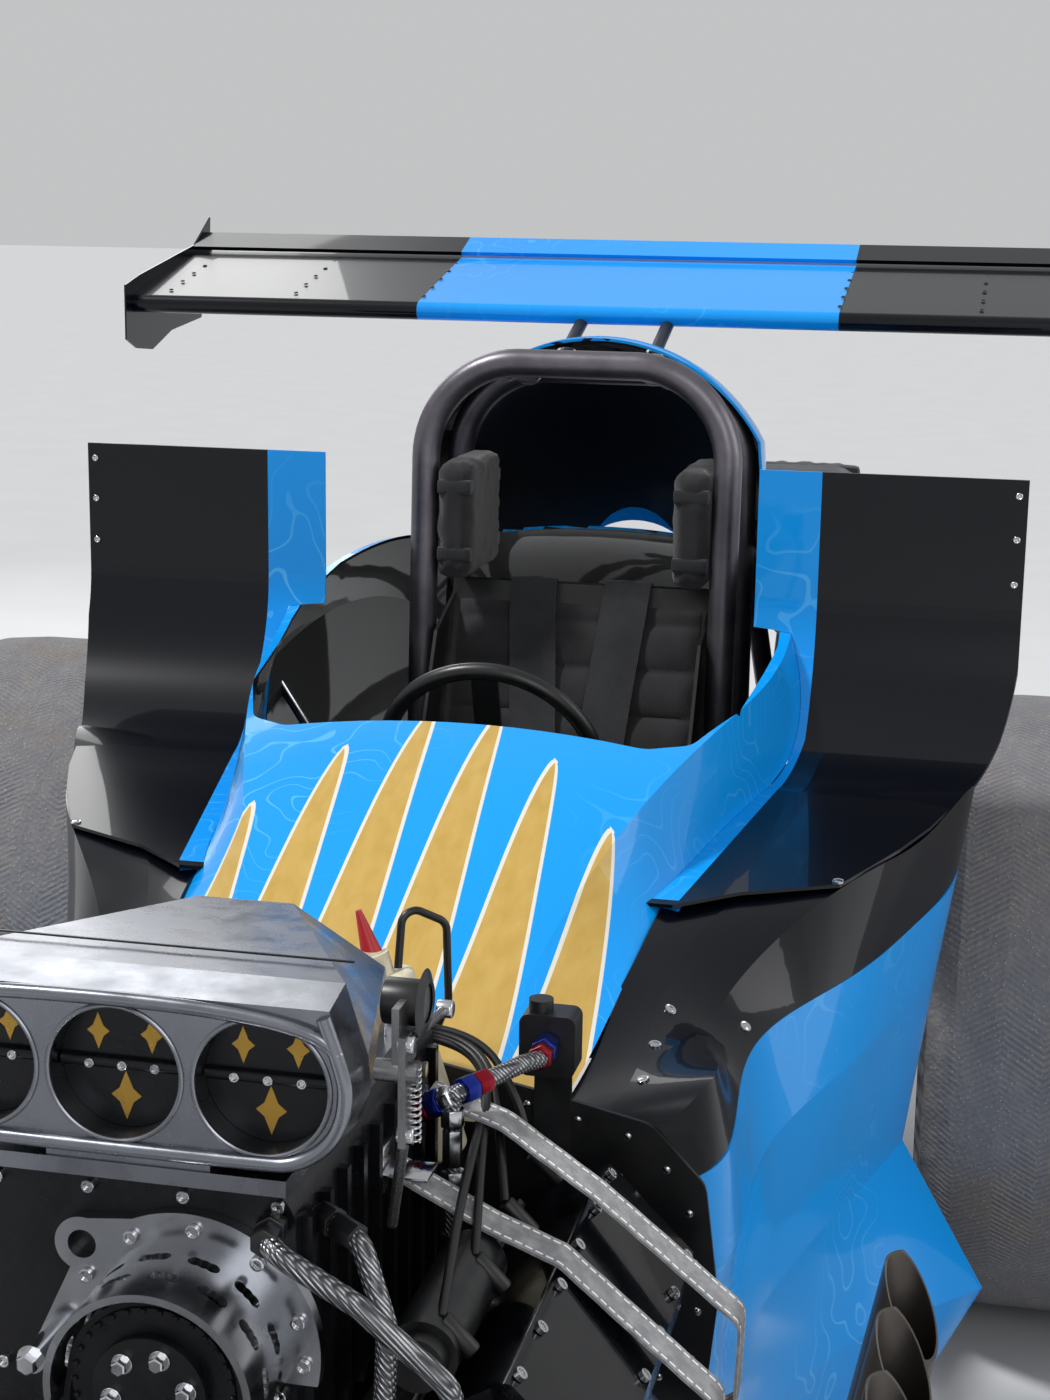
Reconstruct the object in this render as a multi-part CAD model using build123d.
from build123d import *
import math
import os

# A front-engined, supercharged altered roadster for the drag strip.
# X is the car's left, -Y is forward, Z is up, millimetres, floor at Z = 0.
# s is a distance forward of the rear axle, and place(x, s, z) turns it into a point.

# Driving dimensions of the whole car
WHEELBASE = 3175.0
NOSE_OVERHANG = 325.0
NOSE_REACH = WHEELBASE + NOSE_OVERHANG
TAIL_REACH = 1100.0
REAR_AXLE_Y = (NOSE_REACH - TAIL_REACH) / 2

# Wheels
REAR_TYRE_R = 457.0
REAR_TREAD_W = 445.0
REAR_SECTION_W = 480.0
REAR_TYRE_X = 790.0
REAR_BEAD_R = 206.0
REAR_RIM_W = 406.0
REAR_FLANGE_X = 668.0
FRONT_TYRE_R = 280.0
FRONT_TYRE_W = 92.0
FRONT_TYRE_X = 610.0
FRONT_BEAD_R = 216.0
FRONT_RIM_W = 76.0
RUNNING_GAP = 0.08
SEAT_GAP = 0.3

# Frame tubes
RAIL_R = 20.6
BRACE_R = 12.7
RAIL_X = 300.0
LOWER_RAIL_Z = 130.0
UPPER_RAIL_Z = 420.0
KICKUP_FRONT_S = 760.0
FRAME_TAIL_S = -300.0
FRAME_ENGINE_S = 2150.0
NECK_RAIL_X = 236.0
NOSE_RAIL_X = 190.0
NOSE_LOWER_Z = 165.0
NOSE_UPPER_Z = 400.0
KICKUP_REAR_Z = 560.0
AXLE_BAY = 110.0
NOSE_BAY_REAR = 180.0
NECK_S = 2700.0

# Roll cage
CAGE_R = 20.6
FRONT_HOOP_X = 225.0
FRONT_HOOP_FOOT_S = 165.0
FRONT_HOOP_TOP_S = 100.0
FRONT_HOOP_TOP_Z = 1394.0
REAR_HOOP_X = 222.0
REAR_HOOP_FOOT_S = -110.0
REAR_HOOP_TOP_S = -90.0
REAR_HOOP_TOP_Z = 1372.0
HOOP_BEND_R = 140.0

# Body shell
SKIN = 4.0
FIREWALL_S = 1300.0
FIREWALL_T = 5.0
BODY_FLOOR_Z = 104.0
COCKPIT_FRONT_S = 770.0

# Engine
CRANK_Z = 340.0
ENGINE_REAR_S = 1310.0
ENGINE_FRONT_S = 1806.0
BANK_ANGLE = 45.0
DECK_H = 270.0
HEAD_H = 112.0
COVER_H = 100.0
VALLEY_Z = 506.0
VALLEY_HALF_W = 60.0
PORT_FIRST_S = 1392.0
PORT_PITCH = 115.0
BLOWER_REAR_S = 1385.0
BLOWER_FRONT_S = 1800.0
BLOWER_W = 262.0
BLOWER_BASE_Z = 600.0
BLOWER_TOP_Z = 878.0

# Blower drive: the blower's own shaft sits to the left of the car's centre plane
DRIVE_X = 45.0
DRIVE_Z = 742.0
DRIVE_S = 1856.0
BELT_W = 58.0
BELT_T = 5.0
TOP_PULLEY_R = 66.0
CRANK_PULLEY_R = 86.0
GUARD_R = 84.0
GUARD_T = 6.0
GUARD_FRONT_S = 1900.0

# Injector hat
HAT_BASE_Z = 892.0
HAT_MOUTH_S = 1840.0
HAT_HALF_W = 190.0
HAT_HOLE_R = 53.0
HAT_HOLE_PITCH = 118.0
HAT_HOLE_Z = 975.0
HAT_REAR_S = 1540.0
HAT_LIP_R = 66.0

# Wing
WING_HALF_SPAN = 836.0
WING_NOSE_S = -262.0
WING_NOSE_Z = 1443.0
WING_CHORD = 320.0
WING_TILT = 12.0

# Steering
KINGPIN_X = 500.0
KINGPIN_R = 11.0
STEER_ARM = 130.0
AXLE_TUBE_R = 31.0
SPINDLE_R = 14.0
TIE_ROD_R = 9.5
PITMAN_X = -110.0


def place(x, s, z):
    return Vector(x, REAR_AXLE_Y - s, z)


def station(s):
    # A plane across the car at s, drawn on with (x, z)
    return Plane(origin=(0, REAR_AXLE_Y - s, 0), x_dir=(1, 0, 0), z_dir=(0, -1, 0))


def side_plane(x):
    # A plane along the car at x, drawn on with (y, z)
    return Plane(origin=(x, 0, 0), x_dir=(0, 1, 0), z_dir=(1, 0, 0))


def rod(p, q, r):
    run = Vector(*q) - Vector(*p)
    return Solid.make_cylinder(r, run.length, Plane(origin=Vector(*p), z_dir=run.normalized()))


def pipe(p, q, r, wall):
    return rod(p, q, r) - rod(p, q, r - wall)


def bent_rod(points, r, bend):
    path = FilletPolyline(*[Vector(*p) for p in points], radius=bend)
    start = Plane(origin=path @ 0, z_dir=path % 0)
    return sweep(start * Circle(r), path=path)


def block(low, high):
    size = [b - a for a, b in zip(low, high)]
    mid = [(a + b) / 2 for a, b in zip(low, high)]
    return Pos(*mid) * Box(*size)


def span(x0, x1, s0, s1, z0, z1):
    # A box from its limits in x, s and z
    return block((x0, REAR_AXLE_Y - s1, z0), (x1, REAR_AXLE_Y - s0, z1))


def mirrored(shape):
    return shape.mirror(Plane.YZ)


def both(shape):
    return Compound(children=[shape, mirrored(shape)])


def turned(profile, x, s, z):
    # Revolve an (r, along) profile about the X axis through a point
    flat = Polyline(*[(across, r) for r, across in profile], close=True)
    face = make_face(flat)
    solid = revolve(face, axis=Axis.X, revolution_arc=360)
    return Pos(*place(x, s, z)) * solid


def bent_pipe(points, r, bend, wall):
    # A bent tube that is open at its last end
    path = FilletPolyline(*[Vector(*p) for p in points], radius=bend)
    start = Plane(origin=path @ 0, z_dir=path % 0)
    return sweep(start * (Circle(r) - Circle(r - wall)), path=path)


def fuse(shapes):
    total = shapes[0]
    for shape in shapes[1:]:
        total = total + shape
    return total


parts = {}


# Frame: a welded truss on each side
# columns: s, lower z, upper z, x, and the diagonal of the bay behind: 1 falls to the rear, -1 rises, 0 none
FRAME_NODES = (
    (FRAME_TAIL_S, 250.0, KICKUP_REAR_Z, RAIL_X, 0),
    (-AXLE_BAY, LOWER_RAIL_Z, KICKUP_REAR_Z, RAIL_X, 1),
    (AXLE_BAY, LOWER_RAIL_Z, KICKUP_REAR_Z, RAIL_X, 0),
    (KICKUP_FRONT_S, LOWER_RAIL_Z, UPPER_RAIL_Z, RAIL_X, 1),
    (1260.0, LOWER_RAIL_Z, UPPER_RAIL_Z, RAIL_X, 1),
    (FRAME_ENGINE_S, LOWER_RAIL_Z, UPPER_RAIL_Z, RAIL_X, 1),
    (NECK_S, NOSE_LOWER_Z, NOSE_UPPER_Z, NECK_RAIL_X, 1),
    (WHEELBASE - NOSE_BAY_REAR, NOSE_LOWER_Z, NOSE_UPPER_Z, NOSE_RAIL_X, -1),
    (WHEELBASE + AXLE_BAY, NOSE_LOWER_Z, NOSE_UPPER_Z, NOSE_RAIL_X, 0),
)


def frame_side():
    lower = [place(x, s, low) for s, low, up, x, brace in FRAME_NODES]
    upper = [place(x, s, up) for s, low, up, x, brace in FRAME_NODES]
    tubes = []
    for a, b in zip(lower, lower[1:]):
        tubes.append(rod(a, b, RAIL_R))
    for a, b in zip(upper, upper[1:]):
        tubes.append(rod(a, b, RAIL_R))
    for a, b in zip(lower, upper):
        tubes.append(rod(a, b, BRACE_R))
    for i in range(1, len(FRAME_NODES)):
        brace = FRAME_NODES[i][4]
        if brace > 0:
            tubes.append(rod(lower[i], upper[i - 1], BRACE_R))
        if brace < 0:
            tubes.append(rod(upper[i], lower[i - 1], BRACE_R))
    knots = [Pos(*p) * Sphere(RAIL_R) for p in lower + upper]
    return fuse(tubes + knots)


# The nose clip is a frame of its own, butted to the main rails ahead of the engine
CLIP_S = FRAME_ENGINE_S + 2 * RAIL_R
whole_side = frame_side()
main_left = whole_side & span(0, 500, FRAME_TAIL_S - 100, CLIP_S, 0, 800)
clip_left = whole_side & span(0, 500, CLIP_S + SEAT_GAP, NOSE_REACH, 0, 800)
parts["frame_side_left"] = main_left
parts["frame_side_right"] = mirrored(main_left)
parts["frame_clip_left"] = clip_left
parts["frame_clip_right"] = mirrored(clip_left)


# Crossmembers, coped a weld gap short of the rails
# columns: s, z, x of the rail there, tube radius, and how much the rails close in per mm there
NECK_SLOPE = (RAIL_X - NECK_RAIL_X) / (NECK_S - FRAME_ENGINE_S)
CROSSMEMBERS = (
    (FRAME_TAIL_S, 250.0, RAIL_X, RAIL_R, 0),
    (FRAME_TAIL_S, KICKUP_REAR_Z, RAIL_X, RAIL_R, 0),
    (REAR_HOOP_FOOT_S, LOWER_RAIL_Z, RAIL_X, RAIL_R, 0),
    (FRONT_HOOP_FOOT_S, LOWER_RAIL_Z, RAIL_X, RAIL_R, 0),
    (760.0, LOWER_RAIL_Z, RAIL_X, RAIL_R, 0),
    (1260.0, LOWER_RAIL_Z, RAIL_X, RAIL_R, 0),
    (FRAME_ENGINE_S, LOWER_RAIL_Z, RAIL_X, RAIL_R, NECK_SLOPE),
    (NECK_S, NOSE_LOWER_Z, NECK_RAIL_X, BRACE_R, NECK_SLOPE),
    (NECK_S, NOSE_UPPER_Z, NECK_RAIL_X, BRACE_R, NECK_SLOPE),
    (WHEELBASE + AXLE_BAY, NOSE_UPPER_Z, NOSE_RAIL_X, BRACE_R, 0),
)


def crossmembers():
    bars = []
    for s, z, x, r, slope in CROSSMEMBERS:
        reach = x - RAIL_R - SEAT_GAP - slope * r
        bars.append(rod(place(-reach, s, z), place(reach, s, z), r))
    return bars


def nose_hoop():
    # Two bent loops that meet at the front and close the frame's nose
    x = NOSE_RAIL_X
    back = WHEELBASE + AXLE_BAY
    front = NOSE_REACH - RAIL_R
    loops = [bent_rod([place(x, back, z), place(x - 20, front, NOSE_LOWER_Z + 30),
                       place(20 - x, front, NOSE_LOWER_Z + 30), place(-x, back, z)], RAIL_R, 60)
             for z in (NOSE_LOWER_Z, NOSE_UPPER_Z)]
    hoop = loops[0] + loops[1]
    clear = RAIL_R + SEAT_GAP
    for side in (x, -x):
        hoop = hoop - rod(place(side, back, 0), place(side, back, 600), BRACE_R + SEAT_GAP)
        hoop = hoop - span(side - 60, side + 60, back - 60, back, 0, 600)
        for z in (NOSE_LOWER_Z, NOSE_UPPER_Z):
            hoop = hoop - Pos(*place(side, back, z)) * Sphere(clear)
    return hoop


def tail_tabs():
    # A towing eye and a jacking pad on the two rearmost crossmembers
    s = FRAME_TAIL_S
    hole_s = s - TOW_EYE_REACH
    eye = span(-26, 26, hole_s - 24, s, KICKUP_REAR_Z - 4, KICKUP_REAR_Z + 4)
    eye = eye - rod(place(0, hole_s, KICKUP_REAR_Z - 9), place(0, hole_s, KICKUP_REAR_Z + 9), TOW_EYE_R)
    pad = span(-45, 45, s - 40, s + 50, 250 - RAIL_R - 4, 250 - RAIL_R + 4)
    return eye, pad


def tail_members():
    bars = crossmembers()
    eye, pad = tail_tabs()
    bars[0] = bars[0] + pad
    bars[1] = bars[1] + eye
    return bars


# Dash hoop between the upper rails, with the steering column's bearing
DASH_S = 1060.0
DASH_X = 262.0
COLUMN_R = 10.0
WHEEL_S = 610.0
WHEEL_Z = 920.0
COLUMN_END_S = 1240.0
COLUMN_END_Z = 690.0


def column_point(s):
    share = (s - WHEEL_S) / (COLUMN_END_S - WHEEL_S)
    return place(0, s, WHEEL_Z + share * (COLUMN_END_Z - WHEEL_Z))


def dash_hoop():
    foot_z = UPPER_RAIL_Z + RAIL_R + SEAT_GAP
    top_z = column_point(DASH_S).Z
    hoop = bent_rod([place(RAIL_X, DASH_S, foot_z), place(DASH_X, DASH_S, top_z),
                     place(-DASH_X, DASH_S, top_z), place(-RAIL_X, DASH_S, foot_z)], BRACE_R, 50)
    sleeve = rod(column_point(DASH_S - 24), column_point(DASH_S + 24), 2 * COLUMN_R)
    bore = rod(column_point(DASH_S - 40), column_point(DASH_S + 40), COLUMN_R + RUNNING_GAP)
    return hoop + sleeve - bore


# Parachute carrier: two uprights off the tail crossmember with a shelf for each pack
CHUTE_X = (135.0, 345.0)
CHUTE_S = (-880.0, -640.0)
CHUTE_Z = (920.0, 1160.0)


def chute_carrier():
    x = (CHUTE_X[0] + CHUTE_X[1]) / 2
    front = CHUTE_S[1]
    shelf_z = CHUTE_Z[0] - SEAT_GAP
    shelf = span(CHUTE_X[0] + 10, CHUTE_X[1] - 10, CHUTE_S[0] + 20, front, shelf_z - 4, shelf_z)
    back = span(x - 40, x + 40, front + SEAT_GAP, front + SEAT_GAP + 4, shelf_z - 4, CHUTE_Z[1] - 60)
    ledge = span(x - 40, x + 40, front - 20, front + SEAT_GAP + 4, shelf_z - 4, shelf_z)
    post = rod(place(x, FRAME_TAIL_S, KICKUP_REAR_Z), place(x, front + 16, shelf_z - 12), BRACE_R)
    brace = rod(place(x, front + 16, shelf_z - 12), place(x, front + 30, shelf_z - 12), BRACE_R)
    strut = rod(place(x, FRAME_TAIL_S, KICKUP_REAR_Z), place(x, CHUTE_S[0] + 90, shelf_z - 2), BRACE_R)
    clear = rod(place(-RAIL_X, FRAME_TAIL_S, KICKUP_REAR_Z), place(RAIL_X, FRAME_TAIL_S, KICKUP_REAR_Z),
                RAIL_R + SEAT_GAP)
    above = span(x - 60, x + 60, CHUTE_S[0], front + 200, shelf_z, shelf_z + 60)
    return fuse([shelf, back, ledge, post, brace, strut]) - clear - above


TOW_EYE_R = 11.0
TOW_EYE_REACH = 62.0
carrier = chute_carrier()
parts["frame_crossmembers"] = Compound(children=tail_members() + nose_hoop().solids() + [dash_hoop(), carrier,
                                                                                       mirrored(carrier)])


# Roll cage
def cage_front():
    foot_z = LOWER_RAIL_Z + RAIL_R + SEAT_GAP
    x = FRONT_HOOP_X
    return bent_rod([place(x, FRONT_HOOP_FOOT_S, foot_z),
                     place(x, FRONT_HOOP_TOP_S, FRONT_HOOP_TOP_Z),
                     place(-x, FRONT_HOOP_TOP_S, FRONT_HOOP_TOP_Z),
                     place(-x, FRONT_HOOP_FOOT_S, foot_z)], CAGE_R, HOOP_BEND_R)


HOOP_FOOT_Z = LOWER_RAIL_Z + RAIL_R + SEAT_GAP
REAR_HOOP_PATH = [place(REAR_HOOP_X, REAR_HOOP_FOOT_S, HOOP_FOOT_Z),
                  place(REAR_HOOP_X, REAR_HOOP_TOP_S, REAR_HOOP_TOP_Z),
                  place(-REAR_HOOP_X, REAR_HOOP_TOP_S, REAR_HOOP_TOP_Z),
                  place(-REAR_HOOP_X, REAR_HOOP_FOOT_S, HOOP_FOOT_Z)]
WING_MOUNT_X = 70.0
WING_MOUNT_R = 10.0


def wing_mount_ends():
    # Two short struts from the rear hoop's top tube back to the wing's underside
    return [(place(x, REAR_HOOP_TOP_S - 10, REAR_HOOP_TOP_Z + 6), place(x, -400, 1475))
            for x in (-WING_MOUNT_X, WING_MOUNT_X)]


def cage_rear(grow=0.0):
    return bent_rod(REAR_HOOP_PATH, CAGE_R + grow, HOOP_BEND_R)


# Cage struts: x, s, z at each end, and the radius
CAGE_STRUTS = (
    (110.0, FRONT_HOOP_TOP_S, FRONT_HOOP_TOP_Z - 3, 110.0, REAR_HOOP_TOP_S, REAR_HOOP_TOP_Z - 3, CAGE_R),
    (REAR_HOOP_X, -97.0, 1160.0, RAIL_X - 4, FRAME_TAIL_S + 30, 585.0, BRACE_R + 3),
    (FRONT_HOOP_X, 136.0, 700.0, REAR_HOOP_X, -106.0, 700.0, BRACE_R),
)


def roll_cage():
    cage = cage_front() + cage_rear()
    for x0, s0, z0, x1, s1, z1, r in CAGE_STRUTS:
        strut = rod(place(x0, s0, z0), place(x1, s1, z1), r)
        cage = cage + strut + mirrored(strut)
    harness_bar = rod(place(-REAR_HOOP_X, -106, 760), place(REAR_HOOP_X, -106, 760), BRACE_R)
    return cage + harness_bar


parts["roll_cage"] = roll_cage()


# Wheels and tyres
def rear_tyre_profile():
    half = REAR_SECTION_W / 2
    tread = REAR_TREAD_W / 2
    top = REAR_TYRE_R
    rim = REAR_RIM_W / 2
    bead = REAR_BEAD_R + SEAT_GAP
    lip = rim - 12 - SEAT_GAP
    return [(bead, -lip), (bead, lip), (bead + 17, lip), (bead + 32, rim + 12), (bead + 95, half),
            (top - 75, half), (top - 22, tread + 6), (top - 5, tread - 30), (top, tread - 90),
            (top, -tread + 90), (top - 5, -tread + 30), (top - 22, -tread - 6),
            (top - 75, -half), (bead + 95, -half), (bead + 32, -rim - 12), (bead + 17, -lip)]


def rear_rim_profile():
    # Outboard is +: a wide barrel with a disc near its inboard side
    rim = REAR_RIM_W / 2
    disc = REAR_FLANGE_X - REAR_TYRE_X + 8
    r = REAR_BEAD_R
    return [(r, -rim + 12), (r, rim - 12), (r + 16, rim - 12), (r + 16, rim), (r - 8, rim),
            (r - 14, rim - 30), (r - 14, disc + 26), (58, disc + 12), (58, disc),
            (r - 20, disc), (r - 14, -rim + 20), (r - 8, -rim), (r + 16, -rim), (r + 16, -rim + 12)]


def rear_wheel(side):
    x = REAR_TYRE_X
    tyre = turned(rear_tyre_profile(), x, 0, REAR_TYRE_R)
    rim = turned(rear_rim_profile(), x, 0, REAR_TYRE_R)
    if side < 0:
        return mirrored(tyre), mirrored(rim)
    return tyre, rim


for side, word in ((1, "left"), (-1, "right")):
    tyre, rim = rear_wheel(side)
    parts["rear_tyre_" + word] = tyre
    parts["rear_rim_" + word] = rim


def front_wheel():
    half = FRONT_TYRE_W / 2
    rim = FRONT_RIM_W / 2
    r = FRONT_BEAD_R
    top = FRONT_TYRE_R
    bead = r + SEAT_GAP
    lip = rim - 6 - SEAT_GAP
    tyre = turned([(bead, -lip), (bead, lip), (bead + 13, lip), (bead + 26, half),
                   (top - 16, half - 2), (top - 3, half - 16), (top, half - 30), (top, 30 - half),
                   (top - 3, 16 - half), (top - 16, 2 - half), (bead + 26, -half),
                   (bead + 13, -lip)], FRONT_TYRE_X, WHEELBASE, top)
    hub = SPINDLE_R + RUNNING_GAP
    rim = turned([(r, 6 - rim), (r, rim - 6), (r + 12, rim - 6), (r + 12, rim), (r - 6, rim),
                  (r - 12, rim - 14), (r - 14, 6), (60, -4), (45, 26), (hub, 26), (hub, -46),
                  (45, -46), (60, -14), (r - 14, -6), (r - 12, 14 - rim), (r - 6, -rim),
                  (r + 12, -rim), (r + 12, 6 - rim)], FRONT_TYRE_X, WHEELBASE, top)
    return tyre, rim


tyre, rim = front_wheel()
parts["front_tyre_left"] = tyre
parts["front_rim_left"] = rim
parts["front_tyre_right"] = mirrored(tyre)
parts["front_rim_right"] = mirrored(rim)


# Rear axle: one shaft through the housing, with a flange for each wheel
SHAFT_R = 22.0
FLANGE_R = 80.0
HOUSING_R = 44.0
HOUSING_END_X = 545.0


def axle_shaft():
    z = REAR_TYRE_R
    x = REAR_FLANGE_X
    shaft = rod(place(-x, 0, z), place(x, 0, z), SHAFT_R)
    flange = rod(place(x - 12, 0, z), place(x, 0, z), FLANGE_R)
    nose = rod(place(x, 0, z), place(x + 40, 0, z), 57)
    return fuse([shaft, flange, nose, mirrored(flange), mirrored(nose)])


def axle_housing():
    z = REAR_TYRE_R
    end = HOUSING_END_X
    open_r = SHAFT_R + 6
    seat_r = SHAFT_R + RUNNING_GAP
    # columns: r, distance along the axle from the middle, for the outside and then the bore
    outside = [(70, end), (70, end - 14), (HOUSING_R, end - 14), (HOUSING_R, 140), (110, 105),
               (155, 70), (155, -70), (110, -105), (HOUSING_R, -140), (HOUSING_R, 14 - end),
               (70, 14 - end), (70, -end)]
    bore = [(seat_r, -end), (seat_r, 40 - end), (open_r, 40 - end), (open_r, end - 40),
            (seat_r, end - 40), (seat_r, end)]
    shape = turned(outside + bore, 0, 0, z)
    snout = rod(place(0, 90, z - 20), place(0, 330, z - 20), 62)
    mount = span(RAIL_X - 6, RAIL_X + 6, BRACE_R - AXLE_BAY + SEAT_GAP, AXLE_BAY - BRACE_R - SEAT_GAP,
                 z - 60, z + 60) - rod(place(RAIL_X - 9, 0, z), place(RAIL_X + 9, 0, z), HOUSING_R - 2)
    return fuse([shape, snout - rod(place(-90, 0, z), place(90, 0, z), 140), mount, mirrored(mount)])


parts["axle_shaft"] = axle_shaft()
parts["axle_housing"] = axle_housing()


# Front axle, knuckles, tie rod and pitman arm
def front_axle():
    z = FRONT_TYRE_R
    s = WHEELBASE
    x = KINGPIN_X
    boss = rod(place(x, s, z - 32), place(x, s, z + 32), 24)
    tube = rod(place(-x, s, z), place(x, s, z), AXLE_TUBE_R)
    mount = span(NOSE_RAIL_X - 6, NOSE_RAIL_X + 6, s - 60, s + 60,
                 NOSE_LOWER_Z + RAIL_R + SEAT_GAP, NOSE_UPPER_Z - RAIL_R - SEAT_GAP)
    shape = fuse([tube, boss, mirrored(boss), mount, mirrored(mount)])
    hole = rod(place(x, s, z - 60), place(x, s, z + 60), KINGPIN_R + RUNNING_GAP)
    return shape - hole - mirrored(hole)


def knuckle():
    z = FRONT_TYRE_R
    s = WHEELBASE
    x = KINGPIN_X
    gap = 33.0
    pin = rod(place(x, s, z - 56), place(x, s, z + 56), KINGPIN_R)
    top = rod(place(x, s, z + gap), place(x, s, z + gap + 20), 22)
    bottom = rod(place(x, s, z - gap - 20), place(x, s, z - gap), 22)
    post = span(x + 26, x + 44, s - 22, s + 22, z - gap - 20, z + gap + 20)
    upper = span(x, x + 44, s - 20, s + 20, z + gap, z + gap + 20)
    lower = span(x, x + 44, s - 20, s + 20, z - gap - 20, z - gap)
    spindle = rod(place(x + 30, s, z), place(FRONT_TYRE_X + 36, s, z), SPINDLE_R)
    arm_z = z - gap - 20
    arm = span(x - 14, x + 14, s - STEER_ARM, s, arm_z, arm_z + 14)
    eye = rod(place(x, s - STEER_ARM, arm_z), place(x, s - STEER_ARM, arm_z + 14), 18)
    stud = rod(place(x, s - STEER_ARM, arm_z - 30), place(x, s - STEER_ARM, arm_z + 5), 7)
    return fuse([pin, top, bottom, post, upper, lower, spindle, arm, eye, stud])


parts["front_axle"] = front_axle()
left = knuckle()
parts["knuckle_left"] = left
parts["knuckle_right"] = mirrored(left)

TIE_Z = FRONT_TYRE_R - 33.0 - 20.0 - 17.0


def tie_rod():
    s = WHEELBASE - STEER_ARM
    x = KINGPIN_X
    bar = rod(place(-x, s, TIE_Z), place(x, s, TIE_Z), TIE_ROD_R)
    eye = rod(place(x, s, TIE_Z - 10), place(x, s, TIE_Z + 10), 17)
    lug = rod(place(PITMAN_X, s, TIE_Z - 10), place(PITMAN_X, s, TIE_Z + 10), 17)
    hole = rod(place(x, s, TIE_Z - 40), place(x, s, TIE_Z + 40), 7 + RUNNING_GAP)
    open_hole = rod(place(-x, s, TIE_Z - 40), place(-x, s, TIE_Z + 40), 7.5)
    pit_hole = rod(place(PITMAN_X, s, TIE_Z - 40), place(PITMAN_X, s, TIE_Z + 40), 7.5)
    return fuse([bar, eye, mirrored(eye), lug]) - hole - open_hole - pit_hole


def pitman_arm():
    s = WHEELBASE
    x = PITMAN_X
    low = TIE_Z + 14
    arm = span(x - 13, x + 13, s - STEER_ARM, s, low, low + 12)
    tip = rod(place(x, s - STEER_ARM, low), place(x, s - STEER_ARM, low + 12), 17)
    hub = rod(place(x, s, low), place(x, s, low + 12), 22)
    stud = rod(place(x, s - STEER_ARM, TIE_Z - 12), place(x, s - STEER_ARM, low + 4), 7)
    return fuse([arm, tip, hub, stud])


parts["tie_rod"] = tie_rod()
parts["pitman_arm"] = pitman_arm()


# Body: cowl panel with the cockpit's edge, from the firewall back past the cockpit
# columns: s, top z, shoulder x, shoulder z, crease x, crease z
BODY_FRONT_S = FIREWALL_S - SEAT_GAP
BODY_SPLIT_S = 362.0
COWL_SECTIONS = (
    (BODY_FRONT_S, 800.0, 165.0, 779.0, 228.0, 742.0),
    (1000.0, 915.0, 200.0, 893.0, 270.0, 836.0),
    (760.0, 1013.0, 278.0, 986.0, 306.0, 880.0),
    (560.0, 1050.0, 330.0, 1020.0, 350.0, 902.0),
    (BODY_SPLIT_S, 1088.0, 352.0, 1068.0, 386.0, 985.0),
)


def cowl_mass(grow):
    # The cowl's outline filled down to the floor, to trim what lies against it
    faces = []
    for s, top, shoulder_x, shoulder_z, crease_x, crease_z in COWL_SECTIONS:
        x = crease_x + grow
        y = shoulder_x + grow
        faces.append(station(s) * make_face(Curve() + [
            Line((-x, 100), (-x, crease_z)), Line((-x, crease_z), (-y, shoulder_z + grow)),
            ThreePointArc((-y, shoulder_z + grow), (0, top + grow), (y, shoulder_z + grow)),
            Line((y, shoulder_z + grow), (x, crease_z)), Line((x, crease_z), (x, 100)),
            Line((x, 100), (-x, 100))]))
    return loft(faces)


def cowl_section(row):
    s, top, shoulder_x, shoulder_z, crease_x, crease_z = row
    t = SKIN
    outer = [Line((-crease_x, crease_z), (-shoulder_x, shoulder_z)),
             ThreePointArc((-shoulder_x, shoulder_z), (0, top), (shoulder_x, shoulder_z)),
             Line((shoulder_x, shoulder_z), (crease_x, crease_z))]
    inner = [Line((crease_x, crease_z), (crease_x - t, crease_z - t)),
             Line((crease_x - t, crease_z - t), (shoulder_x - t, shoulder_z - t)),
             ThreePointArc((shoulder_x - t, shoulder_z - t), (0, top - t), (t - shoulder_x, shoulder_z - t)),
             Line((t - shoulder_x, shoulder_z - t), (t - crease_x, crease_z - t)),
             Line((t - crease_x, crease_z - t), (-crease_x, crease_z))]
    return station(s) * make_face(Curve() + outer + inner)


# columns: s, half width of the cockpit opening there, from its front edge back
COCKPIT_EDGE = (
    (COCKPIT_FRONT_S, 225.0),
    (738.0, 276.0),
    (620.0, 318.0),
    (400.0, 338.0),
    (200.0, 330.0),
    (-150.0, 266.0),
)


def cockpit_hole():
    right = [place(x, s, 0) for s, x in COCKPIT_EDGE]
    outline = right + [place(-x, s, 0) for s, x in reversed(COCKPIT_EDGE)]
    face = make_face(Polyline(*[(p.X, p.Y) for p in outline], close=True))
    face = fillet(face.vertices().sort_by(Axis.Y)[:4], 40)
    return Pos(0, 0, 620) * extrude(face, 900)


opening = cockpit_hole()
cowl = loft([cowl_section(row) for row in COWL_SECTIONS]) - opening
parts["cowl"] = cowl


# Body tub behind the cowl, round the cockpit and on over the rear deck
# columns: s, bottom x, bottom z, side x, side z, waist x, waist z, crease x, crease z, shoulder x and z, top z
TUB_SECTIONS = (
    (BODY_SPLIT_S - SEAT_GAP, 372.0, 120.0, 405.0, 450.0, 405.0, 760.0, 386.0, 985.0, 352.0, 1068.0, 1088.0),
    (130.0, 372.0, 120.0, 405.0, 450.0, 405.0, 760.0, 385.0, 1010.0, 330.0, 1110.0, 1132.0),
    (-120.0, 372.0, 160.0, 400.0, 480.0, 395.0, 760.0, 362.0, 1000.0, 280.0, 1098.0, 1130.0),
    (-440.0, 340.0, 330.0, 362.0, 520.0, 350.0, 730.0, 312.0, 860.0, 240.0, 925.0, 940.0),
)


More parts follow.
